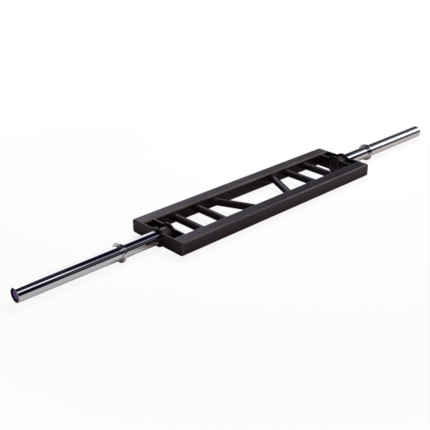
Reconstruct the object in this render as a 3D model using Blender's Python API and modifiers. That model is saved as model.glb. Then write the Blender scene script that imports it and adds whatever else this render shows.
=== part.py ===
"""Triceps bar: two square rails joined by six cross handles, with a turning chrome sleeve at each end.

Metres, +Z up. X runs along the bar and the front rail is at -Y. The origin is the middle of the bar, on the
axis that both sleeves turn about. Sizes are chained outwards from there, so each can be changed alone.
"""
import math

import bmesh
import bpy

# Clearances
SEAT_GAP = 0.0003
RUNNING_GAP = 0.0003

# Rails: square box tube, lying on edge to edge with the plates
RAIL_WIDTH = 0.050
RAIL_HEIGHT = 0.050
RAIL_WALL = 0.003
RAIL_CORNER = 0.006
RAIL_SPACE = 0.160
VENT_DIAMETER = 0.0045
VENT_INSET = 0.046

# Cross handles, by the distance between the middles of the two in each pair
OUTER_GRIP_SPACING = 0.710
MIDDLE_GRIP_SPACING = 0.490
ANGLED_GRIP_SPACING = 0.250
GRIP_ANGLE = math.radians(25.0)
HANDLE_DIAMETER = 0.028
HANDLE_WALL = 0.003

# End plates and the bosses that are welded through them
END_HAND_ROOM = 0.094
PLATE_THICKNESS = 0.006
PLATE_POCKET = 0.044
PLATE_CORNER = 0.008
LOBE_LAND = 0.012
LOBE_FILLET = 0.010
BOSS_DIAMETER = 0.048

# Stub shafts that carry the sleeves, and what holds the sleeves on them
SHAFT_DIAMETER = 0.030
SHAFT_CHAMFER = 0.0015
THRUST_WASHER_THICKNESS = 0.0015
THRUST_WASHER_RIM = 0.002
BUSH_LENGTH = 0.030
RETAINER_THICKNESS = 0.003
CIRCLIP_THICKNESS = 0.0018
CIRCLIP_CLEARANCE = 0.0011
CIRCLIP_OPENING = math.radians(26.0)
CIRCLIP_EAR_ANGLE = math.radians(14.0)
GROOVE_DEPTH = 0.0014
SHAFT_NOSE = 0.004
CAP_CLEARANCE = 0.001

# Sleeves, collars and end caps
SLEEVE_DIAMETER = 0.050
SLEEVE_WALL = 0.004
SLEEVE_CHAMFER = 0.001
RACK_LENGTH = 0.147
SHOULDER_LENGTH = 0.008
SHOULDER_RISE = 0.004
FLANGE_THICKNESS = 0.008
FLANGE_RISE = 0.010
FLANGE_ROUND = 0.002
LOADING_LENGTH = 0.382
MOUTH_WALL = 0.002
CAP_RECESS = 0.0005
CAP_LIP_THICKNESS = 0.004
CAP_DISH_DEPTH = 0.0032
CAP_FLOOR = 0.003
CAP_SKIRT_LENGTH = 0.009
CAP_SKIRT_WALL = 0.002
CAP_BEVEL = 0.0008
DISC_THICKNESS = 0.0008
DISC_MARGIN = 0.0037

# Facets round a turned piece, and along each rounded corner
VISIBLE_STEPS = 40
HANDLE_STEPS = 28
HIDDEN_STEPS = 32
CORNER_STEPS = 4
FILLET_STEPS = 5
LOBE_STEPS = 14
VENT_STEPS = 12
SHARP_ANGLE = math.radians(35.0)

# Places along the bar, measured outwards from its middle
INNER_PLATE_INBOARD = OUTER_GRIP_SPACING / 2 + END_HAND_ROOM
INNER_PLATE_OUTBOARD = INNER_PLATE_INBOARD + PLATE_THICKNESS
OUTER_PLATE_INBOARD = INNER_PLATE_OUTBOARD + PLATE_POCKET
OUTER_PLATE_OUTBOARD = OUTER_PLATE_INBOARD + PLATE_THICKNESS
THRUST_WASHER_START = OUTER_PLATE_OUTBOARD + SEAT_GAP
SLEEVE_START = THRUST_WASHER_START + THRUST_WASHER_THICKNESS + RUNNING_GAP
COLLAR_START = OUTER_PLATE_OUTBOARD + RACK_LENGTH
FLANGE_START = COLLAR_START + SHOULDER_LENGTH
FLANGE_END = FLANGE_START + FLANGE_THICKNESS
SLEEVE_END = FLANGE_END + LOADING_LENGTH
CAP_END = SLEEVE_END - CAP_RECESS
DISC_START = CAP_END - CAP_DISH_DEPTH + SEAT_GAP
CAP_START = CAP_END - CAP_LIP_THICKNESS - CAP_SKIRT_LENGTH
SHAFT_END = CAP_START - CAP_CLEARANCE
CIRCLIP_END = SHAFT_END - SHAFT_NOSE
CIRCLIP_START = CIRCLIP_END - CIRCLIP_THICKNESS
RETAINER_END = CIRCLIP_START - SEAT_GAP
RETAINER_START = RETAINER_END - RETAINER_THICKNESS
OUTER_BUSH_END = RETAINER_START - RUNNING_GAP

# Heights and half widths across the bar
HALF_HEIGHT = RAIL_HEIGHT / 2
RAIL_INNER_Y = RAIL_SPACE / 2
RAIL_MIDDLE_Y = RAIL_INNER_Y + RAIL_WIDTH / 2
FRAME_HALF_WIDTH = RAIL_INNER_Y + RAIL_WIDTH

# Radii about the sleeve axis
SHAFT_RADIUS = SHAFT_DIAMETER / 2
BOSS_RADIUS = BOSS_DIAMETER / 2
LOBE_RADIUS = BOSS_RADIUS + LOBE_LAND
SLEEVE_RADIUS = SLEEVE_DIAMETER / 2
SLEEVE_BORE_RADIUS = SLEEVE_RADIUS - SLEEVE_WALL
MOUTH_RADIUS = SLEEVE_RADIUS - MOUTH_WALL
CAP_LIP_RADIUS = MOUTH_RADIUS - SEAT_GAP
CAP_SKIRT_RADIUS = SLEEVE_BORE_RADIUS - SEAT_GAP
CAP_DISH_RADIUS = CAP_SKIRT_RADIUS - CAP_SKIRT_WALL
DISC_RADIUS = CAP_DISH_RADIUS - DISC_MARGIN
GROOVE_RADIUS = SHAFT_RADIUS - GROOVE_DEPTH
CIRCLIP_BORE_RADIUS = GROOVE_RADIUS + SEAT_GAP
CIRCLIP_EAR_RADIUS = SLEEVE_BORE_RADIUS - CIRCLIP_CLEARANCE
CIRCLIP_RIM_RADIUS = (CIRCLIP_BORE_RADIUS + CIRCLIP_EAR_RADIUS) / 2

# A flat outline drawn as (Y, Z) faces along X when turned by this
FACING_X = (math.pi / 2, 0.0, math.pi / 2)

PART_COLLECTION = "triceps_bar"
CUTTER_COLLECTION = "cutters"
SIDES = {"left": -1, "right": 1}

# Colour, metallic and roughness of each finish
FINISHES = {
    "powder_coat_black": ((0.033, 0.030, 0.034), 0.0, 0.48),
    "chrome_plate": ((0.78, 0.78, 0.80), 1.0, 0.06),
    "bright_steel": ((0.50, 0.50, 0.52), 1.0, 0.32),
    "bronze": ((0.58, 0.38, 0.19), 1.0, 0.35),
    "black_nylon": ((0.020, 0.020, 0.022), 0.0, 0.55),
    "black_plastic": ((0.012, 0.012, 0.014), 0.0, 0.38),
    "purple_disc": ((0.105, 0.045, 0.180), 0.0, 0.30),
}


def clear_scene():
    """Removes whatever objects the file opened with."""
    for old in list(bpy.data.objects):
        bpy.data.objects.remove(old, do_unlink=True)


def new_collection(name):
    """Adds a collection to the scene."""
    collection = bpy.data.collections.new(name)
    bpy.context.scene.collection.children.link(collection)
    return collection


def finish_material(finish, node):
    """Makes one node's own material in a named finish."""
    colour, metallic, roughness = FINISHES[finish]
    material = bpy.data.materials.new(f"{finish}_{node}")
    material.use_nodes = True
    shader = material.node_tree.nodes["Principled BSDF"]
    shader.inputs["Base Color"].default_value = (*colour, 1.0)
    shader.inputs["Metallic"].default_value = metallic
    shader.inputs["Roughness"].default_value = roughness
    return material


def add_part(name, mesh, finish):
    """Links a mesh as one named piece of the bar, in its own material."""
    piece = bpy.data.objects.new(name, mesh)
    bpy.data.collections[PART_COLLECTION].objects.link(piece)
    mesh.materials.append(finish_material(finish, name))
    return piece


def evaluated_mesh(source):
    """Copies an object's mesh as its modifiers or its curve settings leave it, with loose caps joined."""
    bpy.context.view_layer.update()
    graph = bpy.context.evaluated_depsgraph_get()
    mesh = bpy.data.meshes.new_from_object(source.evaluated_get(graph))
    joined = bmesh.new()
    joined.from_mesh(mesh)
    bmesh.ops.remove_doubles(joined, verts=joined.verts, dist=1e-6)
    joined.to_mesh(mesh)
    joined.free()
    return mesh


def axis_empty(name, x, side):
    """Puts an empty on the sleeve axis, with its own +Z pointing outwards along the bar."""
    empty = bpy.data.objects.new(name, None)
    bpy.data.collections[PART_COLLECTION].objects.link(empty)
    empty.location = (side * x, 0.0, 0.0)
    empty.rotation_euler = (0.0, side * math.pi / 2, 0.0)
    return empty


def arc(centre, radius, start, end, steps):
    """Points along an arc, both ends included."""
    angles = [start + (end - start) * i / steps for i in range(steps + 1)]
    return [(centre[0] + radius * math.cos(a), centre[1] + radius * math.sin(a)) for a in angles]


def turned_mesh(name, profile, steps, hollow):
    """Turns a (radius, height) profile about Z; its outer side runs from the top down."""
    line = bmesh.new()
    corners = [line.verts.new((radius, 0.0, height)) for radius, height in profile]
    for first, second in zip(corners, corners[1:]):
        line.edges.new((first, second))
    if hollow:
        line.edges.new((corners[-1], corners[0]))
    outline = bpy.data.meshes.new(name)
    line.to_mesh(outline)
    line.free()
    blank = bpy.data.objects.new(name, outline)
    bpy.data.collections[CUTTER_COLLECTION].objects.link(blank)
    turn = blank.modifiers.new("turn", "SCREW")
    turn.steps = steps
    turn.render_steps = steps
    turn.use_merge_vertices = True
    turn.merge_threshold = 0.00001
    mesh = evaluated_mesh(blank)
    bpy.data.objects.remove(blank, do_unlink=True)
    bpy.data.meshes.remove(outline)
    mesh.name = name
    mesh.shade_smooth()
    mesh.set_sharp_from_angle(angle=SHARP_ANGLE)
    return mesh


def turned_part(name, profile, steps, hollow, finish, parent, start):
    """Adds a turned piece on the sleeve axis, starting at a distance from the middle of the bar."""
    piece = add_part(name, turned_mesh(name, profile, steps, hollow), finish)
    piece.parent = parent
    piece.location = (0.0, 0.0, start - abs(parent.location.x))
    return piece


def ring_profile(outer, inner, length):
    """Profile of a plain tube or washer that starts at height 0."""
    return [(outer, length), (outer, 0.0), (inner, 0.0), (inner, length)]


def flat_mesh(name, loops, thickness):
    """Fills the outlines as one flat sheet with holes, and gives it a thickness about its own plane."""
    sheet = bpy.data.curves.new(name, "CURVE")
    sheet.dimensions = "2D"
    sheet.fill_mode = "BOTH"
    sheet.extrude = thickness / 2
    for loop in loops:
        spline = sheet.splines.new("POLY")
        spline.points.add(len(loop) - 1)
        for point, (across, up) in zip(spline.points, loop):
            point.co = (across, up, 0.0, 1.0)
        spline.use_cyclic_u = True
    blank = bpy.data.objects.new(name, sheet)
    bpy.data.collections[CUTTER_COLLECTION].objects.link(blank)
    mesh = evaluated_mesh(blank)
    bpy.data.objects.remove(blank, do_unlink=True)
    bpy.data.curves.remove(sheet)
    mesh.name = name
    mesh.shade_smooth()
    mesh.set_sharp_from_angle(angle=SHARP_ANGLE)
    return mesh


def circle_loop(radius, steps):
    """A full circle of points about the origin."""
    return arc((0.0, 0.0), radius, 0.0, 2 * math.pi * (steps - 1) / steps, steps - 1)


def rounded_rectangle(width, height, corner):
    """Outline of a rectangle about the origin with rounded corners."""
    loop = []
    for turn, (right, up) in enumerate(((1, 1), (-1, 1), (-1, -1), (1, -1))):
        centre = (right * (width / 2 - corner), up * (height / 2 - corner))
        start = turn * math.pi / 2
        loop += arc(centre, corner, start, start + math.pi / 2, CORNER_STEPS)
    return loop


def lobed_outline(half_width, corner):
    """Outline of an end plate: straight edges level with the rails, and a lobe round the boss on each."""
    reach = math.sqrt((LOBE_RADIUS + LOBE_FILLET) ** 2 - (HALF_HEIGHT + LOBE_FILLET) ** 2)
    rise = HALF_HEIGHT + LOBE_FILLET
    lobe_start = math.atan2(rise, reach)
    corner_centre = (half_width - corner, HALF_HEIGHT - corner)
    right_corner = [(half_width, HALF_HEIGHT)]
    if corner > 0:
        right_corner = arc(corner_centre, corner, 0.0, math.pi / 2, CORNER_STEPS)
    fillet = arc((reach, rise), LOBE_FILLET, math.pi * 1.5, math.pi + lobe_start, FILLET_STEPS)
    lobe = arc((0.0, 0.0), LOBE_RADIUS, lobe_start, math.pi - lobe_start, LOBE_STEPS)
    left = [(-across, up) for across, up in reversed(right_corner + fillet)]
    upper = right_corner + fillet + lobe[1:-1] + left
    lower = [(-across, -up) for across, up in upper]
    return upper + lower


def cut(piece, cutter, operation):
    """Cuts a piece with a guide shape that stays in the file as a wire."""
    boolean = piece.modifiers.new(cutter.name, "BOOLEAN")
    boolean.operation = operation
    boolean.solver = "EXACT"
    boolean.object = cutter


def add_cutter(name, mesh):
    """Links a guide shape that only cuts other pieces."""
    cutter = bpy.data.objects.new(name, mesh)
    bpy.data.collections[CUTTER_COLLECTION].objects.link(cutter)
    cutter.hide_render = True
    cutter.display_type = "WIRE"
    return cutter


def box_cutter(name, size):
    """A box about the origin that cuts other pieces."""
    block = bmesh.new()
    bmesh.ops.create_cube(block, size=1.0)
    bmesh.ops.scale(block, vec=size, verts=block.verts)
    mesh = bpy.data.meshes.new(name)
    block.to_mesh(mesh)
    block.free()
    return add_cutter(name, mesh)


def vent_cutter(name, x):
    """A short rod through the front rail's front wall."""
    rod = bmesh.new()
    bmesh.ops.create_cone(
        rod, cap_ends=True, segments=VENT_STEPS,
        radius1=VENT_DIAMETER / 2, radius2=VENT_DIAMETER / 2, depth=4 * RAIL_WALL,
    )
    mesh = bpy.data.meshes.new(name)
    rod.to_mesh(mesh)
    rod.free()
    cutter = add_cutter(name, mesh)
    cutter.rotation_euler = (math.pi / 2, 0.0, 0.0)
    cutter.location = (x, -FRAME_HALF_WIDTH, 0.0)
    return cutter


def build_rails():
    """The two box tubes, shut at both ends by the outer plates."""
    length = 2 * (OUTER_PLATE_INBOARD - SEAT_GAP)
    bore = (RAIL_WIDTH - 2 * RAIL_WALL, RAIL_HEIGHT - 2 * RAIL_WALL, RAIL_CORNER - RAIL_WALL)
    for name, direction in (("front_rail", -1), ("back_rail", 1)):
        loops = [rounded_rectangle(RAIL_WIDTH, RAIL_HEIGHT, RAIL_CORNER), rounded_rectangle(*bore)]
        rail = add_part(name, flat_mesh(name, loops, length), "powder_coat_black")
        rail.rotation_euler = FACING_X
        rail.location = (0.0, direction * RAIL_MIDDLE_Y, 0.0)
    front = bpy.data.objects["front_rail"]
    for side_name, side in SIDES.items():
        x = side * (OUTER_PLATE_OUTBOARD - VENT_INSET)
        cut(front, vent_cutter(f"{side_name}_vent_cutter", x), "DIFFERENCE")


def build_plates(side_name, side):
    """The outer plate over the rail ends and the inner plate between the rails."""
    bore = circle_loop(BOSS_RADIUS + SEAT_GAP, VISIBLE_STEPS)
    middle = PLATE_THICKNESS / 2
    inner_half_width = RAIL_INNER_Y - SEAT_GAP
    plates = (
        ("outer_plate", lobed_outline(FRAME_HALF_WIDTH, PLATE_CORNER), OUTER_PLATE_INBOARD + middle),
        ("inner_plate", lobed_outline(inner_half_width, 0.0), INNER_PLATE_INBOARD + middle),
    )
    for plate_name, outline, x in plates:
        name = f"{side_name}_{plate_name}"
        plate = add_part(name, flat_mesh(name, [outline, bore], PLATE_THICKNESS), "powder_coat_black")
        plate.rotation_euler = FACING_X
        plate.location = (side * x, 0.0, 0.0)


def build_handle(name, x, angle, gap_box):
    """One tubular handle across the rails, trimmed to sit flat on both of them."""
    radius = HANDLE_DIAMETER / 2
    length = (RAIL_SPACE + 2 * HANDLE_DIAMETER) / math.cos(angle)
    profile = ring_profile(radius, radius - HANDLE_WALL, length)
    centred = [(across, height - length / 2) for across, height in profile]
    handle = add_part(name, turned_mesh(name, centred, HANDLE_STEPS, True), "powder_coat_black")
    handle.rotation_euler = (-math.pi / 2, 0.0, -angle)
    handle.location = (x, 0.0, 0.0)
    cut(handle, gap_box, "INTERSECT")


def build_handles():
    """Three handles to each side; the innermost pair closes in towards the front rail."""
    gap = RAIL_SPACE - 2 * SEAT_GAP
    gap_box = box_cutter("rail_gap_cutter", (2 * INNER_PLATE_INBOARD, gap, 2 * HANDLE_DIAMETER))
    rows = (
        ("outer_handle", OUTER_GRIP_SPACING / 2, 0.0),
        ("middle_handle", MIDDLE_GRIP_SPACING / 2, 0.0),
        ("angled_handle", ANGLED_GRIP_SPACING / 2, GRIP_ANGLE),
    )
    for side_name, side in SIDES.items():
        for row_name, x, angle in rows:
            build_handle(f"{side_name}_{row_name}", side * x, side * angle, gap_box)


def shaft_profile():
    """Profile of the stub shaft, from its chamfered nose down past the circlip's groove."""
    length = SHAFT_END - INNER_PLATE_INBOARD
    groove_top = CIRCLIP_END + SEAT_GAP - INNER_PLATE_INBOARD
    groove_bottom = CIRCLIP_START - SEAT_GAP - INNER_PLATE_INBOARD
    return [
        (0.0, length),
        (SHAFT_RADIUS - SHAFT_CHAMFER, length),
        (SHAFT_RADIUS, length - SHAFT_CHAMFER),
        (SHAFT_RADIUS, groove_top),
        (GROOVE_RADIUS, groove_top),
        (GROOVE_RADIUS, groove_bottom),
        (SHAFT_RADIUS, groove_bottom),
        (SHAFT_RADIUS, 0.0),
        (0.0, 0.0),
    ]


def circlip_outline():
    """Outline of an open ring with an ear at each side of its opening."""
    half = CIRCLIP_OPENING / 2
    ear_end = half + CIRCLIP_EAR_ANGLE
    origin = (0.0, 0.0)
    first_ear = arc(origin, CIRCLIP_EAR_RADIUS, half, ear_end, 2)
    back = arc(origin, CIRCLIP_RIM_RADIUS, ear_end, 2 * math.pi - ear_end, HIDDEN_STEPS)
    second_ear = arc(origin, CIRCLIP_EAR_RADIUS, 2 * math.pi - ear_end, 2 * math.pi - half, 2)
    bore = arc(origin, CIRCLIP_BORE_RADIUS, 2 * math.pi - half, half, HIDDEN_STEPS)
    return first_ear + back + second_ear + bore


def build_stub(side_name, side):
    """The boss through both plates, the shaft pressed in it, and what keeps the sleeve on the shaft."""
    parent = axis_empty(f"{side_name}_stub_axis", INNER_PLATE_INBOARD, side)
    shaft_bore = SHAFT_RADIUS + SEAT_GAP
    running_bore = SHAFT_RADIUS + RUNNING_GAP
    boss = ring_profile(BOSS_RADIUS, shaft_bore, OUTER_PLATE_OUTBOARD - INNER_PLATE_INBOARD)
    turned_part(f"{side_name}_boss", boss, VISIBLE_STEPS, True, "powder_coat_black", parent,
                INNER_PLATE_INBOARD)
    turned_part(f"{side_name}_stub_shaft", shaft_profile(), HIDDEN_STEPS, False, "bright_steel", parent,
                INNER_PLATE_INBOARD)
    thrust = ring_profile(SLEEVE_RADIUS - THRUST_WASHER_RIM, running_bore, THRUST_WASHER_THICKNESS)
    turned_part(f"{side_name}_thrust_washer", thrust, HIDDEN_STEPS, True, "black_nylon", parent,
                THRUST_WASHER_START)
    retainer = ring_profile(SLEEVE_BORE_RADIUS - 2 * RUNNING_GAP, running_bore, RETAINER_THICKNESS)
    turned_part(f"{side_name}_retaining_washer", retainer, HIDDEN_STEPS, True, "bright_steel", parent,
                RETAINER_START)
    name = f"{side_name}_circlip"
    circlip = add_part(name, flat_mesh(name, [circlip_outline()], CIRCLIP_THICKNESS), "bright_steel")
    circlip.parent = parent
    circlip.location = (0.0, 0.0, (CIRCLIP_START + CIRCLIP_END) / 2 - INNER_PLATE_INBOARD)


def sleeve_profile():
    """Profile of the sleeve tube, chamfered outside at both ends, with a wider bore in its mouth."""
    length = SLEEVE_END - SLEEVE_START
    mouth_floor = length - CAP_RECESS - CAP_LIP_THICKNESS - SEAT_GAP
    return [
        (SLEEVE_RADIUS - SLEEVE_CHAMFER, length),
        (SLEEVE_RADIUS, length - SLEEVE_CHAMFER),
        (SLEEVE_RADIUS, SLEEVE_CHAMFER),
        (SLEEVE_RADIUS - SLEEVE_CHAMFER, 0.0),
        (SLEEVE_BORE_RADIUS, 0.0),
        (SLEEVE_BORE_RADIUS, mouth_floor),
        (MOUTH_RADIUS, mouth_floor),
        (MOUTH_RADIUS, length),
    ]


def collar_profile():
    """Profile of the collar: a rounded flange outboard, and a lower shoulder inboard of it."""
    bore = SLEEVE_RADIUS + SEAT_GAP
    shoulder = SLEEVE_RADIUS + SHOULDER_RISE
    rim = SLEEVE_RADIUS + FLANGE_RISE
    top = SHOULDER_LENGTH + FLANGE_THICKNESS
    upper = arc((rim - FLANGE_ROUND, top - FLANGE_ROUND), FLANGE_ROUND, math.pi / 2, 0.0, CORNER_STEPS)
    lower_centre = (rim - FLANGE_ROUND, SHOULDER_LENGTH + FLANGE_ROUND)
    lower = arc(lower_centre, FLANGE_ROUND, 0.0, -math.pi / 2, CORNER_STEPS)
    step = [(shoulder, SHOULDER_LENGTH), (shoulder, SLEEVE_CHAMFER), (shoulder - SLEEVE_CHAMFER, 0.0)]
    return [(bore, top)] + upper + lower + step + [(bore, 0.0)]


def cap_profile():
    """Profile of the end cap: a shallow dish with a lip in the sleeve's mouth and a skirt in its bore."""
    length = CAP_SKIRT_LENGTH + CAP_LIP_THICKNESS
    dish_floor = length - CAP_DISH_DEPTH
    skirt_bore = CAP_SKIRT_RADIUS - CAP_SKIRT_WALL
    return [
        (0.0, dish_floor),
        (CAP_DISH_RADIUS, dish_floor),
        (CAP_DISH_RADIUS, length),
        (CAP_LIP_RADIUS - CAP_BEVEL, length),
        (CAP_LIP_RADIUS, length - CAP_BEVEL),
        (CAP_LIP_RADIUS, CAP_SKIRT_LENGTH),
        (CAP_SKIRT_RADIUS, CAP_SKIRT_LENGTH),
        (CAP_SKIRT_RADIUS, 0.0),
        (skirt_bore, 0.0),
        (skirt_bore, dish_floor - CAP_FLOOR),
        (0.0, dish_floor - CAP_FLOOR),
    ]


def disc_profile():
    """Profile of the thin round inlay in the end cap's dish, with a softened edge."""
    return [
        (0.0, DISC_THICKNESS),
        (DISC_RADIUS - DISC_THICKNESS / 2, DISC_THICKNESS),
        (DISC_RADIUS, DISC_THICKNESS / 2),
        (DISC_RADIUS, 0.0),
        (0.0, 0.0),
    ]


def build_sleeve(side_name, side):
    """Everything that turns with one sleeve, parented to an empty on the hinge axis."""
    parent = axis_empty(f"{side_name}_sleeve_axis", (SLEEVE_START + SLEEVE_END) / 2, side)
    bush = ring_profile(SLEEVE_BORE_RADIUS - SEAT_GAP, SHAFT_RADIUS + RUNNING_GAP, BUSH_LENGTH)
    pieces = (
        ("sleeve_tube", sleeve_profile(), VISIBLE_STEPS, True, "chrome_plate", SLEEVE_START),
        ("collar", collar_profile(), VISIBLE_STEPS, True, "chrome_plate", COLLAR_START),
        ("inner_bush", bush, HIDDEN_STEPS, True, "bronze", SLEEVE_START),
        ("outer_bush", bush, HIDDEN_STEPS, True, "bronze", OUTER_BUSH_END - BUSH_LENGTH),
        ("end_cap", cap_profile(), HIDDEN_STEPS, False, "black_plastic", CAP_START),
        ("cap_disc", disc_profile(), HIDDEN_STEPS, False, "purple_disc", DISC_START),
    )
    for piece_name, profile, steps, hollow, finish, start in pieces:
        turned_part(f"{side_name}_{piece_name}", profile, steps, hollow, finish, parent, start)


def main():
    """Builds the whole bar."""
    clear_scene()
    new_collection(PART_COLLECTION)
    new_collection(CUTTER_COLLECTION)
    build_rails()
    build_handles()
    for side_name, side in SIDES.items():
        build_plates(side_name, side)
        build_stub(side_name, side)
        build_sleeve(side_name, side)


main()
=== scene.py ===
"""Looks of the triceps bar: finishes, fine shapes and weld beads round its packed construction, in a studio.

Metres, +Z up, in the frame of the construction: X runs along the bar, the front rail is at -Y, and both
sleeves turn about the X axis. A size that a neighbour sets is read from the construction's own nodes.
"""

import functools
import logging
import math
from dataclasses import dataclass
from enum import Enum
from typing import NamedTuple

import bmesh
import bpy
from mathutils import Matrix, Vector


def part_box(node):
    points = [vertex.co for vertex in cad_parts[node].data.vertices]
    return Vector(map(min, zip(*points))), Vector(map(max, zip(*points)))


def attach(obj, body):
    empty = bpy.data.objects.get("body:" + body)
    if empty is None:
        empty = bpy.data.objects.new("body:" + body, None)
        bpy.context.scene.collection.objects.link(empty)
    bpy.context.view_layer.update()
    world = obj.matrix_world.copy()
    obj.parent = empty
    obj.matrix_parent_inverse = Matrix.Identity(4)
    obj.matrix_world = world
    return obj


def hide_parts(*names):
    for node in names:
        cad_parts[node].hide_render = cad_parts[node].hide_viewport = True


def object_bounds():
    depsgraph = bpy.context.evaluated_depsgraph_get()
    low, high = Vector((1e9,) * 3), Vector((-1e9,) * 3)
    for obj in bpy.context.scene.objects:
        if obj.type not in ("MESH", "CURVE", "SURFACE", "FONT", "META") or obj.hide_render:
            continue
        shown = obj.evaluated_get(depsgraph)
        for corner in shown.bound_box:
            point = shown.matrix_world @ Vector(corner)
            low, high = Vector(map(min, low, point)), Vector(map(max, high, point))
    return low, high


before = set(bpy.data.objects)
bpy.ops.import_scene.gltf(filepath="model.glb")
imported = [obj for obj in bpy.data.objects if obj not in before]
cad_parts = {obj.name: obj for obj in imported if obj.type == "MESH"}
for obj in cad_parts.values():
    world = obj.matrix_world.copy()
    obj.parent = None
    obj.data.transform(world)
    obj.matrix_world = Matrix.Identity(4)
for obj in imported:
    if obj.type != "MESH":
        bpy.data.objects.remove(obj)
cad_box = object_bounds()

LOG = logging.getLogger("triceps_bar")

Mesh = bpy.types.Mesh
Shape = bmesh.types.BMesh
Node = bpy.types.Node
Socket = bpy.types.NodeSocket
Inputs = dict[str | int, object]
Pair = tuple[float, float]
Triple = tuple[float, float, float]
Point = Pair
Colour = Triple
# A point on an inner corner, and the directions along its two surfaces, away from it
Seat = tuple[Vector, Vector, Vector]

FULL_TURN = 2 * math.pi
SHARP_ANGLE = math.radians(40.0)
FUSE_DISTANCE = 1e-6
SHEET_EDGE_RESOLUTION = 2
# Turns a shape drawn flat in (Y, Z), with its thickness along +Z, to stand square across the bar
ACROSS_THE_BAR = Matrix(((0, 0, 1, 0), (1, 0, 0, 0), (0, 1, 0, 0), (0, 0, 0, 1)))
# How far from an eased edge a flat gets its own corners, so that the pale edge colour, partly wear and partly
# painted highlight, stays on the edge
EDGE_MARGIN = 0.0015
# Width of the inner one of the two frames on a sheet's faces
INNER_MARGIN = 0.0003
# Where the rails' inner faces are across the bar, and how far up and down the rails reach
RAIL_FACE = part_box("back_rail")[0].y
RAIL_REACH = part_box("back_rail")[1].z

WHITE: Colour = (1.0, 1.0, 1.0)
# Stretches that leave a pattern even, or draw it out round the sleeve axis or along the bar
EVEN: Triple = (1.0, 1.0, 1.0)
ROUND_THE_AXIS: Triple = (1.0, 0.02, 0.02)
ALONG_THE_BAR: Triple = (0.03, 1.0, 1.0)


class Span(NamedTuple):
    """How a piece lies along one half of the bar, and how far it reaches from the sleeve axis."""

    inboard: float
    outboard: float
    radius: float


class Side(Enum):
    """The two ends of the bar, by the sign of X."""

    LEFT = -1
    RIGHT = 1

    def node(self, piece: str) -> str:
        """Returns the name of this side's copy of a piece."""
        return f"{self.name.lower()}_{piece}"

    def span(self, piece: str) -> Span:
        """Reads how this side's copy of a piece lies from the construction."""
        low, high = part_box(self.node(piece))
        return Span(*sorted((abs(low.x), abs(high.x))), high.z)

    def at(self, distance: float) -> float:
        """Returns the X of a place that far from the middle of the bar."""
        return self.value * distance


class Body(Enum):
    """The bodies that move as one."""

    FRAME = "frame"
    LEFT_SLEEVE = "left_sleeve"
    RIGHT_SLEEVE = "right_sleeve"


class Slot(Enum):
    """The record's material slots."""

    POWDER_COAT = "powder_coat"
    CHROME = "chrome_plate"
    STEEL = "bright_steel"
    BRONZE = "bronze"
    NYLON = "black_nylon"
    PLASTIC = "black_plastic"
    PURPLE = "purple_plastic"


@dataclass(frozen=True)
class Noise:
    """A cloudy pattern: metres across one cloud, layers of finer clouds, and how it is drawn out."""

    size: float
    detail: float = 2.0
    stretch: Triple = EVEN


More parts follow.
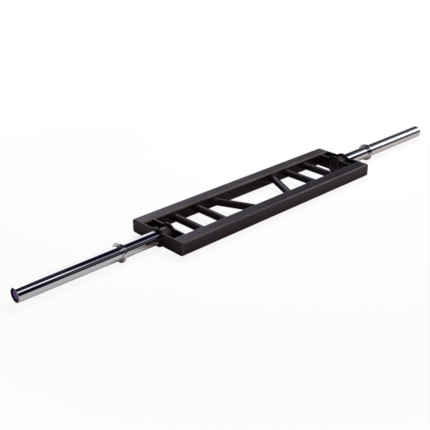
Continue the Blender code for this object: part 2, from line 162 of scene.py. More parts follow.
class Graph:
    """A node tree that is laid out one step at a time."""

    def __init__(self, tree: bpy.types.NodeTree) -> None:
        """Starts on a material's or a world's own tree, which already has its output node."""
        self.tree = tree

    def feed(self, node: Node, inputs: Inputs) -> None:
        """Gives a node's inputs what they take.

        Args:
            node: The node.
            inputs: Values or sockets for its inputs, by name or number. None leaves an input alone.
        """
        for name, value in inputs.items():
            if isinstance(value, Socket):
                self.tree.links.new(value, node.inputs[name])
            elif value is not None:
                node.inputs[name].default_value = value

    def add(self, kind: str, inputs: Inputs | None = None, **settings: str) -> Node:
        """Adds a node.

        Args:
            kind: Blender's name for the node's type, without the ShaderNode in front.
            inputs: What its inputs take.
            settings: Values for its own properties.

        Returns:
            The new node.
        """
        node = self.tree.nodes.new(f"ShaderNode{kind}")
        for name, value in settings.items():
            setattr(node, name, value)
        self.feed(node, inputs or {})
        return node

    def math(self, operation: str, *values: float | Socket) -> Socket:
        """Works out one step of arithmetic, by Blender's name for it, from up to three values."""
        return self.add("Math", dict(enumerate(values)), operation=operation).outputs[0]

    def length(self, vector: Socket) -> Socket:
        """Works out how long a vector is."""
        return self.add("VectorMath", {0: vector}, operation="LENGTH").outputs["Value"]

    def place(self) -> Socket:
        """Gives the place on the piece, in metres, which moves with the piece."""
        return self.add("TexCoord").outputs["Object"]

    @functools.cache
    def noise(self, pattern: Noise) -> Socket:
        """Makes a cloudy pattern, once.

        Args:
            pattern: Its size, its detail and how it is drawn out.

        Returns:
            A value that lies round a half.
        """
        place = self.add("Mapping", {"Vector": self.place(), "Scale": pattern.stretch}).outputs[0]
        inputs = {"Vector": place, "Scale": 1.0 / pattern.size, "Detail": pattern.detail}
        return self.add("TexNoise", inputs).outputs[0]

    def fade(self, value: Socket, start: float, end: float, low: float = 0.0, high: float = 1.0) -> Socket:
        """Carries a value smoothly from a low level, which it has at the start, to a high one at the end."""
        inputs = {"Value": value, "From Min": start, "From Max": end, "To Min": low, "To Max": high}
        return self.add("MapRange", inputs, interpolation_type="SMOOTHSTEP").outputs[0]

    def window(self, value: Socket, edges: Pair, blur: float) -> Socket:
        """Makes a window, 1 inside and 0 outside, whose edges reach as far as the blur to both sides."""
        start = self.fade(value, edges[0] - blur, edges[0] + blur)
        return self.math("MULTIPLY", start, self.fade(value, edges[1] - blur, edges[1] + blur, 1.0, 0.0))

    def tint(self, factor: Socket, first: Colour | Socket, second: Colour | Socket) -> Socket:
        """Blends two colours or sockets by a factor."""
        # This node's sockets share names, so they go by number: 0 factor, 2 and 3 values, 6 and 7 colours
        sides = [one if isinstance(one, Socket) else (*one, 1.0) for one in (first, second)]
        return self.add("Mix", {0: factor, 6: sides[0], 7: sides[1]}, data_type="RGBA").outputs[2]

    def bump(self, height: Socket, depth: float, under: Socket | None = None) -> Socket:
        """Raises a pattern by a depth in metres, on the normal of a coarser bump if it gets one."""
        inputs = {"Height": height, "Distance": depth, "Strength": 1.0, "Normal": under}
        return self.add("Bump", inputs).outputs[0]

    def rays(self) -> tuple[Socket, Socket]:
        """Tells apart what looks at a point: gives 1 for the camera, and 1 for polished metal and glass."""
        path = self.add("LightPath").outputs
        return path["Is Camera Ray"], self.math("MAXIMUM", path["Is Glossy Ray"], path["Is Transmission Ray"])


@dataclass(frozen=True)
class Finish:
    """A surface that pieces share.

    Clouds carry its colour from one shade to another, a rub swings its roughness, and a grain, of the
    rub's own pattern unless it has another, stands on it.
    """

    name: str
    slot: Slot
    colour: Colour
    roughness: float
    clouds: Noise
    shades: Pair
    rub: Noise
    rub_swing: Pair
    grain_depth: float
    grain: Noise | None = None
    rub_reach: Pair = (0.3, 0.7)
    metallic: float = 0.0
    specular: float = 0.5
    gloss_tint: Colour = WHITE
    resin: float = 0.0
    resin_roughness: float = 0.03

    @functools.cache
    def material(self) -> bpy.types.Material:
        """Builds the finish's material, once.

        Returns:
            The material.
        """
        made = bpy.data.materials.new(self.name)
        made.use_nodes = True
        graph = Graph(made.node_tree)
        graph.feed(made.node_tree.nodes["Principled BSDF"], {
            "Base Color": self.tinted(graph),
            "Roughness": self.rubbed(graph),
            "Normal": self.raised(graph),
            "Metallic": self.metallic,
            "Specular IOR Level": self.specular,
            "Specular Tint": (*self.gloss_tint, 1.0),
            "Coat Weight": self.resin,
            "Coat Roughness": self.resin_roughness,
        })
        return made

    def shade(self, level: float) -> Colour:
        """Returns the finish's colour, made lighter or darker."""
        return tuple(channel * level for channel in self.colour)

    def tinted(self, graph: Graph) -> Socket:
        """Lays out the clouded colour."""
        return graph.tint(graph.noise(self.clouds), *(self.shade(level) for level in self.shades))

    def rubbed(self, graph: Graph) -> Socket:
        """Lays out the swinging roughness."""
        swing = (self.roughness + step for step in self.rub_swing)
        return graph.fade(graph.noise(self.rub), *self.rub_reach, *swing)

    def raised(self, graph: Graph) -> Socket:
        """Lays out the raised grain."""
        return graph.bump(graph.noise(self.grain or self.rub), self.grain_depth)


@dataclass(frozen=True)
class PowderCoat(Finish):
    """Baked powder paint on steel: satin, finely pebbled, thinner and smoother on its edges, which are paler:
    partly from worn coat and partly from a painted highlight.
    """

    clouds: Noise = Noise(0.09, 3.0)
    shades: Pair = (0.86, 1.14)
    rub: Noise = Noise(0.0021)
    rub_swing: Pair = (0.05, -0.05)
    grain_depth: float = 0.00005
    specular: float = 0.34
    gloss_tint: Colour = (1.0, 0.70, 1.15)
    speck: Noise = Noise(0.0005, 1.0)
    speck_depth: float = 0.00002
    speck_reach: Pair = (0.55, 0.75)
    speck_share: float = 0.35
    speck_shade: float = 1.5
    # Paler edges: a colour that is partly worn coat and partly a painted highlight along the eased edges
    edge_wear_and_highlight_colour: Colour = (0.175, 0.188, 0.200)
    edge_wear_and_highlight_share: float = 0.85
    edge_bend: Pair = (0.511, 0.530)

    def tinted(self, graph: Graph) -> Socket:
        """Lays out the clouded colour with its specks and its paler edges, which are partly worn coat and
        partly a painted highlight.

        Args:
            graph: The material's tree.

        Returns:
            The colour.
        """
        specks = graph.fade(graph.noise(self.speck), *self.speck_reach, 0.0, self.speck_share)
        speckled = graph.tint(specks, super().tinted(graph), self.shade(self.speck_shade))
        # The paler edges where the surface bends: partly thin, worn coat and partly a painted highlight
        bend = graph.add("NewGeometry").outputs["Pointiness"]
        thin = graph.fade(bend, *self.edge_bend, 0.0, self.edge_wear_and_highlight_share)
        worn_and_highlit = graph.math("MULTIPLY", thin, graph.noise(self.clouds))
        return graph.tint(worn_and_highlit, speckled, self.edge_wear_and_highlight_colour)

    def raised(self, graph: Graph) -> Socket:
        """Lays out the fine specks on the coarser grain."""
        return graph.bump(graph.noise(self.speck), self.speck_depth, super().raised(graph))


@dataclass(frozen=True)
class ChromePlate(Finish):
    """Bright chrome over turned steel: faint turning lines, thin rubbed streaks and a little haze."""

    clouds: Noise = Noise(0.035, 3.0)
    shades: Pair = (0.97, 1.03)
    rub: Noise = Noise(0.0012, 2.0, ALONG_THE_BAR)
    rub_reach: Pair = (0.62, 0.74)
    rub_swing: Pair = (0.0, 0.05)
    grain: Noise = Noise(0.0004, 2.0, ROUND_THE_AXIS)
    grain_depth: float = 0.0000004
    metallic: float = 1.0
    haze: float = 0.035
    haze_reach: Pair = (0.50, 0.72)

    def rubbed(self, graph: Graph) -> Socket:
        """Lays out the roughness, with the haze over it."""
        hazy = graph.fade(graph.noise(self.clouds), *self.haze_reach, 0.0, self.haze)
        return graph.math("ADD", hazy, super().rubbed(graph))


@dataclass(frozen=True)
class TurnedMetal(Finish):
    """Bare metal off the lathe, with fine rings round the axis under a film of oil."""

    clouds: Noise = Noise(0.012)
    shades: Pair = (0.85, 1.1)
    rub: Noise = Noise(0.0003, 2.0, ROUND_THE_AXIS)
    rub_swing: Pair = (-0.08, 0.08)
    grain_depth: float = 0.000004
    metallic: float = 1.0


@dataclass(frozen=True)
class MouldedPlastic(Finish):
    """Moulded plastic with a fine spark grain."""

    clouds: Noise = Noise(0.02)
    shades: Pair = (0.85, 1.2)
    rub: Noise = Noise(0.0004)
    rub_swing: Pair = (0.06, -0.06)
    grain_depth: float = 0.000015
    specular: float = 0.4


@dataclass(frozen=True)
class ResinInlay(Finish):
    """Flecked, tinted inlay under a clear, slightly wavy resin."""

    clouds: Noise = Noise(0.0006, 1.0)
    shades: Pair = (0.8, 1.25)
    rub: Noise = Noise(0.0006, 1.0)
    rub_reach: Pair = (0.4, 0.7)
    rub_swing: Pair = (0.05, -0.1)
    grain: Noise = Noise(0.006, 1.0)
    grain_depth: float = 0.00002
    specular: float = 0.12
    resin: float = 0.18
    resin_roughness: float = 0.12


# The frame's paint: its slot, its colour and its roughness
PAINT = (Slot.POWDER_COAT, (0.0120, 0.0098, 0.0140), 0.28)
# The bosses carry the frame's same paint, painted lighter here: a painted highlight for the light on their
# round tops
BOSS_PAINT_PAINTED_LIGHTER = (Slot.POWDER_COAT, (0.0440, 0.0420, 0.0450), 0.25)
POWDER_COAT = PowderCoat("satin_powder_coat", *PAINT, specular=0.20)
# The rails get the strongest pale edges along their rounded corners: partly wear and partly a painted
# highlight
RAIL_COAT = PowderCoat("satin_powder_coat_on_rails", *PAINT, edge_wear_and_highlight_share=1.15, edge_bend=(0.506, 0.5155))
ROUND_COAT = PowderCoat("satin_powder_coat_on_rounds", *PAINT, edge_wear_and_highlight_share=0.05, specular=0.22)
BOSS_COAT_PAINTED_LIGHTER = PowderCoat("satin_powder_coat_on_bosses", *BOSS_PAINT_PAINTED_LIGHTER, edge_wear_and_highlight_share=0.05, specular=0.60)
CHROME = ChromePlate("bright_chrome", Slot.CHROME, (0.62, 0.62, 0.635), 0.045)
STEEL = TurnedMetal("ground_steel", Slot.STEEL, (0.50, 0.50, 0.51), 0.30)
BRONZE = TurnedMetal("bush_bronze", Slot.BRONZE, (0.56, 0.37, 0.19), 0.34)
NYLON = MouldedPlastic("washer_nylon", Slot.NYLON, (0.020, 0.020, 0.021), 0.50)
CAP_PLASTIC = MouldedPlastic("cap_plastic", Slot.PLASTIC, (0.004, 0.004, 0.005), 0.34, specular=0.04)
PURPLE = ResinInlay("purple_inlay", Slot.PURPLE, (0.27, 0.060, 0.73), 0.42)


def circle(count: int) -> list[float]:
    """Lists evenly spaced angles round a full turn."""
    return [FULL_TURN * i / count for i in range(count)]


def arc(centre: Point, radius: float, start: float, end: float, steps: int) -> list[Point]:
    """Lists the points along an arc, both ends included, that is drawn in so many straight steps."""
    angles = [math.radians(start + (end - start) * i / steps) for i in range(steps + 1)]
    return [(centre[0] + radius * math.cos(a), centre[1] + radius * math.sin(a)) for a in angles]


@dataclass(frozen=True)
class Ease:
    """How a square corner is rounded: its radius, and the straight steps that it is drawn in."""

    radius: float
    steps: int

    def at(self, corner: Point, start: float, end: float) -> list[Point]:
        """Rounds a corner of an outline.

        Args:
            corner: Where the square corner would be.
            start: Angle that the round starts at, in degrees.
            end: Angle that it ends at, a quarter of a turn away.

        Returns:
            The points of the round.
        """
        middle = math.radians((start + end) / 2)
        away = math.sqrt(2) * self.radius
        centre = (corner[0] - away * math.cos(middle), corner[1] - away * math.sin(middle))
        return arc(centre, self.radius, start, end, self.steps)


def put(name: str, data: bpy.types.ID) -> bpy.types.Object:
    """Puts a new object in the scene.

    Args:
        name: Its name.
        data: The mesh, curve, lamp or camera that it shows.

    Returns:
        The object.
    """
    thing = bpy.data.objects.new(name, data)
    bpy.context.scene.collection.objects.link(thing)
    return thing


def applied(thing: bpy.types.Object) -> Mesh:
    """Takes an object out of the scene and keeps its finished form.

    Args:
        thing: The object.

    Returns:
        Its form as a mesh.
    """
    bpy.context.view_layer.update()
    mesh = bpy.data.meshes.new_from_object(thing.evaluated_get(bpy.context.evaluated_depsgraph_get()))
    bpy.data.objects.remove(thing, do_unlink=True)
    return mesh


def reopened(mesh: Mesh) -> Shape:
    """Turns a mesh back into a shape.

    Args:
        mesh: The mesh, which is used up.

    Returns:
        The shape.
    """
    shape = bmesh.new()
    shape.from_mesh(mesh)
    bpy.data.meshes.remove(mesh)
    return shape


def smooth(mesh: Mesh) -> None:
    """Shades a mesh smooth, except across its sharp edges."""
    mesh.shade_smooth()
    mesh.set_sharp_from_angle(angle=SHARP_ANGLE)


def mesh_from(shape: Shape) -> Mesh:
    """Closes up a shape and hands it over as a mesh.

    Args:
        shape: The shape, which is freed.

    Returns:
        The mesh, with its faces pointing out.
    """
    bmesh.ops.remove_doubles(shape, verts=shape.verts, dist=FUSE_DISTANCE)
    bmesh.ops.dissolve_degenerate(shape, edges=shape.edges, dist=FUSE_DISTANCE)
    bmesh.ops.delete(shape, geom=[edge for edge in shape.edges if edge.is_wire], context="EDGES")
    bmesh.ops.recalc_face_normals(shape, faces=shape.faces)
    mesh = bpy.data.meshes.new("shape")
    shape.to_mesh(mesh)
    shape.free()
    smooth(mesh)
    return mesh


def lofted(rows: list[list[Vector]], closed: bool) -> Mesh:
    """Joins a row of like outlines with a skin.

    Args:
        rows: The outlines, each with as many points.
        closed: Whether the last outline meets the first. The two are capped if it doesn't.

    Returns:
        The mesh.
    """
    shape = bmesh.new()
    rings = [[shape.verts.new(point) for point in row] for row in rows]
    if not closed:
        shape.faces.new(rings[0])
        shape.faces.new(rings[-1])
    for i in range(0 if closed else 1, len(rings)):
        before, ring = rings[i - 1], rings[i]
        for j in range(len(ring)):
            shape.faces.new((before[j - 1], before[j], ring[j], ring[j - 1]))
    return mesh_from(shape)


def turned(profile: list[Point], steps: int, side: Side = Side.RIGHT) -> Mesh:
    """Turns a profile about the sleeve axis.

    Args:
        profile: Closed line of (distance from the middle of the bar, radius) points.
        steps: Facets round the axis.
        side: End of the bar that it lies at.

    Returns:
        The mesh.
    """
    shape = bmesh.new()
    corners = [shape.verts.new((side.at(distance), 0.0, radius)) for distance, radius in profile]
    edges = [shape.edges.new(pair) for pair in zip(corners, corners[1:] + corners[:1])]
    bmesh.ops.spin(
        shape, geom=corners + edges, cent=(0.0, 0.0, 0.0), axis=(1.0, 0.0, 0.0),
        angle=FULL_TURN, steps=steps, use_merge=True,
    )
    return mesh_from(shape)


def cut_from_sheet(loops: list[list[Point]], thickness: float, ease: float) -> Mesh:
    """Cuts a flat piece from sheet, with eased edges, square across the bar.

    Args:
        loops: Its (Y, Z) outline, and the outlines of its holes.
        thickness: Thickness, or length along the bar, about X = 0.
        ease: Radius that its edges are eased to.

    Returns:
        The mesh.
    """
    sheet = bpy.data.curves.new("sheet", "CURVE")
    sheet.dimensions = "2D"
    sheet.fill_mode = "BOTH"
    sheet.extrude = thickness / 2 - ease
    sheet.bevel_depth = ease
    sheet.bevel_resolution = SHEET_EDGE_RESOLUTION
    sheet.offset = -ease
    for loop in loops:
        spline = sheet.splines.new("POLY")
        spline.points.add(len(loop) - 1)
        for point, (across, up) in zip(spline.points, loop):
            point.co = (across, up, 0.0, 1.0)
        spline.use_cyclic_u = True
    flat = applied(put("sheet", sheet))
    flat.transform(ACROSS_THE_BAR)
    return mesh_from(reopened(flat))


def with_margins(mesh: Mesh, axis: int, places: list[float]) -> Mesh:
    """Cuts rows of corners into a mesh without changing its shape, so that pale edges, part wear and part
    painted highlight, stay beside its edges.

    Args:
        mesh: The mesh, which is used up.
        axis: 0, 1 or 2, for cuts square to X, Y or Z.
        places: Where along the axis the cuts are.

    Returns:
        The mesh with its cuts.
    """
    shape = reopened(mesh)
    square = Vector([float(axis == i) for i in range(3)])
    for place in places:
        everything = shape.verts[:] + shape.edges[:] + shape.faces[:]
        cut = {"plane_co": square * place, "plane_no": square}
        bmesh.ops.bisect_plane(shape, geom=everything, dist=FUSE_DISTANCE, **cut)
    return mesh_from(shape)


def with_face_margins(mesh: Mesh, level: float) -> Mesh:
    """Frames the two flat faces of a sheet twice, just inside all their edges, for the same reason.

    Args:
        mesh: The sheet, about X = 0, which is used up.
        level: Half its thickness.

    Returns:
        The sheet with its frames.
    """
    shape = reopened(mesh)
    level -= FUSE_DISTANCE
    faces = [face for face in shape.faces if min(abs(corner.co.x) for corner in face.verts) > level]
    for margin in (EDGE_MARGIN - INNER_MARGIN, INNER_MARGIN):
        bmesh.ops.inset_region(shape, faces=faces, thickness=margin, use_even_offset=True, use_boundary=True)
        bmesh.ops.delete(shape, geom=faces, context="FACES")
        faces = []
        for way in (-1, 1):
            rims = [edge for edge in shape.edges if edge.is_boundary and edge.verts[0].co.x * way > 0]
            fill = bmesh.ops.triangle_fill(shape, edges=rims, use_beauty=True, normal=(way, 0.0, 0.0))
            faces += [part for part in fill["geom"] if isinstance(part, bmesh.types.BMFace)]
    return mesh_from(shape)


def add_piece(
    name: str, mesh: Mesh, finish: Finish, replaced: tuple[str, ...] = (), body: Body = Body.FRAME
) -> None:
    """Puts a finished mesh on the bar.

    Args:
        name: Name of the piece.
        mesh: Its mesh, already in place.
        finish: Its finish.
        replaced: Nodes of the construction that it stands for.
        body: The body that it rides on.
    """
    mesh.name = name
    mesh.materials.append(finish.material())
    piece = put(name, mesh)
    piece.modifiers.new("even_shading", "WEIGHTED_NORMAL").keep_sharp = True
    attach(piece, body.value)
    if replaced:
        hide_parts(*replaced)
    LOG.info("%s: %d faces in %s, rides on %s", name, len(mesh.polygons), finish.name, body.value)


def dress_node(node: str, finish: Finish) -> None:
    """Gives a node of the construction that keeps its own shape a fuller finish.

    Args:
        node: Name of the node.
        finish: Its finish.
    """
    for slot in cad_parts[node].material_slots:
        slot.material = finish.material()
    LOG.info("%s: kept, in %s", node, finish.name)


@dataclass(frozen=True)
class WeldBead:
    """A fillet weld: a rippled, slightly bulging bead in the corner between two surfaces."""

    leg: float = 0.0032
    bulge: float = 0.0006
    root_depth: float = 0.0006
    ripple_pitch: float = 0.0021
    ripple_height: float = 0.00022
    ripple_sweep: float = 0.0012
    steps_per_ripple: int = 5
    section_steps: int = 6
    drifts_round: int = 3
    # The share by which an open bead's fullness varies, how fast from seat to seat, and from where
    drift: Triple = (0.05, 0.11, 0.0)
    sway: Triple = (0.04, 0.047, 1.3)
    end_fill: float = 0.35

    def run(self, corner: list[Seat], closed: bool) -> Mesh:
        """Lays a bead along a corner.

        Args:
            corner: Seats along the corner, evenly spaced.
            closed: Whether the bead meets its own start.

        Returns:
            The bead's mesh.
        """
        rows = []
        travelled = 0.0
        for i, seat in enumerate(corner):
            if i:
                travelled += (seat[0] - corner[i - 1][0]).length
            rows.append(self.section(seat, travelled, self.swell(i, len(corner), closed)))
        return lofted(rows, closed)

    def swell(self, i: int, count: int, closed: bool) -> float:
        """Works out how full the bead is, which varies a little and tapers at open ends.

        Args:
            i: The seat's number.
            count: How many seats there are.
            closed: Whether the bead meets its own start.

        Returns:
            The share of its full size.
        """
        if closed:
            return 1.0 + self.drift[0] * math.sin(self.drifts_round * FULL_TURN * i / count)
        waves = (self.drift, self.sway)
        varied = 1.0 + sum(share * math.sin(i * rate + start) for share, rate, start in waves)
        laid = min(1.0, min(i, count - 1 - i) / self.steps_per_ripple)
        return varied * (self.end_fill + (1.0 - self.end_fill) * math.sqrt(laid))

    def section(self, seat: Seat, travelled: float, swell: float) -> list[Vector]:
        """Draws the bead's outline at one seat.

        Args:
            seat: The seat.
            travelled: Length of bead laid before it.
            swell: How full the bead is here.

        Returns:
            The outline's points, from the root round the face.
        """
        point, first, second = seat
        out = (first + second).normalized()
        outline = [point - out * self.root_depth]
        for j in range(self.section_steps + 1):
            share = j / self.section_steps
            arch = math.sin(math.pi * share)
            phase = (travelled - self.ripple_sweep * arch) / self.ripple_pitch
            ripple = self.ripple_height * (abs(math.sin(math.pi * phase)) - 0.5) * arch
            flat = point + self.leg * swell * ((1 - share) * first + share * second)
            outline.append(flat + out * (self.bulge * swell * arch + ripple))
        return outline

    def count(self, length: float) -> int:
        """Returns how many seats a bead of that length takes, in whole ripples."""
        return max(2, round(length / self.ripple_pitch)) * self.steps_per_ripple

    def ring(self, x: float, radius: float, along: float) -> Mesh:
        """Lays a bead round a tube on the sleeve axis.

        Args:
            x: Where the face that the tube meets stands.
            radius: Radius of the tube.
            along: 1 or -1, the way along X that the bead reaches.

        Returns:
            The bead's mesh.
        """
        middle, ahead = Vector((x, 0.0, 0.0)), Vector((along, 0.0, 0.0))
        outward = [Vector((0.0, math.cos(a), math.sin(a))) for a in circle(self.count(FULL_TURN * radius))]
        return self.run([(middle + radius * way, ahead, way) for way in outward], True)

    def upright(self, corner: Point, toward: Point, reach: float) -> Mesh:
        """Lays a bead up an inner corner.

        Args:
            corner: (X, Y) of the corner.
            toward: Signs of X and Y that its legs reach to.
            reach: How far up and down from the sleeve axis it goes.

        Returns:
            The bead's mesh.
        """
        count = self.count(2 * reach)
        ways = (Vector((toward[0], 0.0, 0.0)), Vector((0.0, toward[1], 0.0)))
        heights = [reach * (2 * i / (count - 1) - 1) for i in range(count)]
        return self.run([(Vector((*corner, height)), *ways) for height in heights], False)


@dataclass
class Rail:
    """One of the two square tubes, with rounded corners and small drain vents in the front one."""

    node: str
    vents: tuple[float, ...] = ()
    wall: float = 0.003
    corner: Ease = Ease(0.006, 8)
    end_ease: float = 0.0003
    vent_radius: float = 0.00225
    vent_ease: Ease = Ease(0.0002, 4)
    vent_steps: int = 32

    def build(self) -> None:
        """Builds the tube and drills it."""
        low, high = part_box(self.node)
        mesh = cut_from_sheet([self.outline(0.0), self.outline(self.wall)], high.x - low.x, self.end_ease)
        for x in self.vents:
            mesh = self.drilled(mesh, x)
        end = self.end_ease + EDGE_MARGIN
        side = self.corner.radius + EDGE_MARGIN
        mouth = self.vent_radius + self.vent_ease.radius + EDGE_MARGIN
        vents = [x + way * mouth for x in self.vents for way in (-1, 1)]
        mesh = with_margins(mesh, 0, [low.x + end, high.x - end, *vents])
        mesh = with_margins(mesh, 1, [low.y + side, high.y - side])
        mesh = with_margins(mesh, 2, [low.z + side, high.z - side, -mouth, mouth])
        add_piece(f"{self.node}_tube", mesh, RAIL_COAT, (self.node,))

    def outline(self, depth: float) -> list[Point]:
        """Draws the tube's section.

        Args:
            depth: How far in from the outer faces it lies.

        Returns:
            The outline's points.
        """
        low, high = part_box(self.node)
        corner = Ease(self.corner.radius - depth, self.corner.steps)
        back, front, top, bottom = high.y - depth, low.y + depth, high.z - depth, low.z + depth
        loop = []
        for turn, tip in enumerate(((back, top), (front, top), (front, bottom), (back, bottom))):
            loop += corner.at(tip, 90 * turn, 90 * turn + 90)
        return loop

    def drilled(self, mesh: Mesh, x: float) -> Mesh:
        """Drills a vent with an eased mouth through the front wall.

        Args:
            mesh: The tube.
            x: Where along the bar the vent is.

        Returns:
            The drilled tube.
        """
        mouth = self.vent_ease.at((0.0, self.vent_radius), 180, 270)
        before, beyond = -self.wall, 2 * self.wall
        profile = [(before, 0.0), (before, mouth[0][1]), *mouth, (beyond, self.vent_radius), (beyond, 0.0)]
        drill = put("drill", turned(profile, self.vent_steps))
        front = Matrix.Translation((x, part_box(self.node)[0].y, 0.0))
        drill.matrix_world = front @ Matrix.Rotation(math.pi / 2, 4, "Z")
        tube = put("tube", mesh)
        bore = tube.modifiers.new("vent", "BOOLEAN")
        bore.object = drill
        bore.solver = "EXACT"
        result = applied(tube)
        bpy.data.objects.remove(drill, do_unlink=True)
        smooth(result)
        return result


@dataclass
class Handle:
    """One round cross handle, welded to the inner faces of both rails."""

    node: str
    middle: float
    turn: float = 0.0
    radius: float = 0.014
    steps: int = 72
    stations: int = 12
    bead: WeldBead = WeldBead()

    def build(self) -> None:
        """Builds the tube and the bead at each end of it."""
        places = [RAIL_FACE * (2 * i / self.stations - 1) for i in range(self.stations + 1)]
        rows = [[self.surface(a, y) for a in circle(self.steps)] for y in places]
        add_piece(f"{self.node}_tube", lofted(rows, False), ROUND_COAT, (self.node,))
        for label, end in (("front", -1), ("back", 1)):
            add_piece(f"{self.node}_{label}_weld", self.end_weld(end), ROUND_COAT)

    def along(self) -> Vector:
        """Returns the direction along the tube, towards the back."""
        return Vector((math.sin(self.turn), math.cos(self.turn), 0.0))

    def outward(self, angle: float) -> Vector:
        """Returns the direction out of the tube's surface at an angle round it, from level."""
        level = Vector((math.cos(self.turn), -math.sin(self.turn), 0.0))
        return level * math.cos(angle) + Vector((0.0, 0.0, math.sin(angle)))

    def surface(self, angle: float, y: float) -> Vector:
        """Finds the point of the tube's surface at an angle round it, at a place across the bar."""
        out, along = self.radius * self.outward(angle), self.along()
        return Vector((self.middle, 0.0, 0.0)) + out + along * ((y - out.y) / along.y)

    def end_weld(self, end: int) -> Mesh:
        """Lays the bead round one end.

        Args:
            end: -1 at the front rail, 1 at the back rail.

        Returns:
            The bead's mesh.
        """
        inward = self.along() * -end
        corner = []
        for angle in circle(self.bead.count(FULL_TURN * self.radius / math.cos(self.turn))):
            out = self.outward(angle)
            over_rail = Vector((out.x, 0.0, out.z)).normalized()
            corner.append((self.surface(angle, end * RAIL_FACE), inward, over_rail))
        return self.bead.run(corner, True)


@dataclass
class EndPlate:
    """A flat end plate: straight edges level with the rails, and a round lobe over and under the boss."""

    node: str
    half_width: float
    corner: Ease | None = None
    boss_radius: float = 0.024
    ease: float = 0.0009
    lobe_steps: int = 48
    lobe_fillet: Ease = Ease(0.010, 10)
    bore_steps: int = 96

    def build(self) -> None:
        """Builds the plate where the construction has it."""
        low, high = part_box(self.node)
        bore = arc((0.0, 0.0), self.boss_radius, 0, 360, self.bore_steps)[:-1]
        thickness = high.x - low.x
        mesh = cut_from_sheet([self.outline(high.z), bore], thickness, self.ease)
        rim = thickness / 2 - self.ease - EDGE_MARGIN
        mesh = with_margins(with_face_margins(mesh, thickness / 2), 0, [-rim, rim])
        mesh.transform(Matrix.Translation(((low.x + high.x) / 2, 0.0, 0.0)))
        add_piece(f"{self.node}_sheet", mesh, POWDER_COAT, (self.node,))

    def outline(self, lobe: float) -> list[Point]:
        """Draws the plate's outline.

        Args:
            lobe: Radius of its lobes.

        Returns:
            The outline's points.
        """
        fillet = self.lobe_fillet
        rise = RAIL_REACH + fillet.radius
        reach = math.sqrt((lobe + fillet.radius) ** 2 - rise ** 2)
        meet = math.degrees(math.atan2(rise, reach))
        tip = (self.half_width, RAIL_REACH)
        quarter = self.corner.at(tip, 0, 90) if self.corner else [tip]
        quarter += arc((reach, rise), fillet.radius, 270, 180 + meet, fillet.steps)
        crown = arc((0.0, 0.0), lobe, meet, 180 - meet, self.lobe_steps)
        upper = quarter + crown[1:-1] + [(-across, up) for across, up in reversed(quarter)]
        return upper + [(-across, -up) for across, up in upper]


@dataclass
class SleeveMount:
    """What carries one sleeve: two end plates, the boss welded through them and the stub shaft in it."""

    side: Side
    steps: int = 96
    ease: Ease = Ease(0.0006, 4)
    plate_corner: Ease = Ease(0.008, 8)
    shaft_radius: float = 0.015
    plug_proud: float = 0.0004
    plug_round: Pair = (240, 90)
    plug_steps: int = 10
    bead: WeldBead = WeldBead()

    def build(self) -> None:
        """Builds the plates, the boss and their welds, and finishes what is inside."""
        outer = self.side.node("outer_plate")
        EndPlate(outer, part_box(outer)[1].y, self.plate_corner).build()
        EndPlate(self.side.node("inner_plate"), RAIL_FACE).build()
        self.build_boss()
        self.build_welds()
        dress_node(self.side.node("thrust_washer"), NYLON)
        for piece in ("stub_shaft", "retaining_washer", "circlip"):
            dress_node(self.side.node(piece), STEEL)

    def build_boss(self) -> None:
        """Builds the tube between the plates, and the painted plug weld over the shaft's inboard end."""
        node = self.side.node("boss")
        start, end, radius = self.side.span("boss")
        ease = self.ease.radius
        bore = self.shaft_radius + ease
        profile = [*self.ease.at((start, radius), 180, 90), *self.ease.at((end, radius), 90, 0)]
        profile += [(end, bore), (start, bore)]
        add_piece(f"{node}_tube", turned(profile, self.steps, self.side), BOSS_COAT_PAINTED_LIGHTER, (node,))
        dome = self.bead.leg / 2
        face = start - self.plug_proud
        plug = [(start + ease, 0.0), (face, 0.0), (face, self.shaft_radius - dome)]
        plug += [*arc((start, bore), dome, *self.plug_round, self.plug_steps), (start + ease, bore)]
        add_piece(self.side.node("plug_weld"), turned(plug, self.steps, self.side), ROUND_COAT)

    def build_welds(self) -> None:
        """Lays the beads round the boss and up the corners between plates and rails."""
        outer, inner = self.side.span("outer_plate"), self.side.span("inner_plate")
        radius = self.side.span("boss").radius
        for label, distance, along in (("outer", outer.inboard, -1), ("inner", inner.outboard, 1)):
            bead = self.bead.ring(self.side.at(distance), radius, self.side.at(along))
            add_piece(self.side.node(f"boss_{label}_weld"), bead, ROUND_COAT)
        reach = RAIL_REACH - self.bead.leg
        for label, span in (("outer", outer), ("inner", inner)):
            for end_label, end in (("front", -1), ("back", 1)):
                corner = (self.side.at(span.inboard), end * RAIL_FACE)
                bead = self.bead.upright(corner, (self.side.at(-1), -end), reach)
                add_piece(self.side.node(f"{label}_plate_{end_label}_weld"), bead, ROUND_COAT)


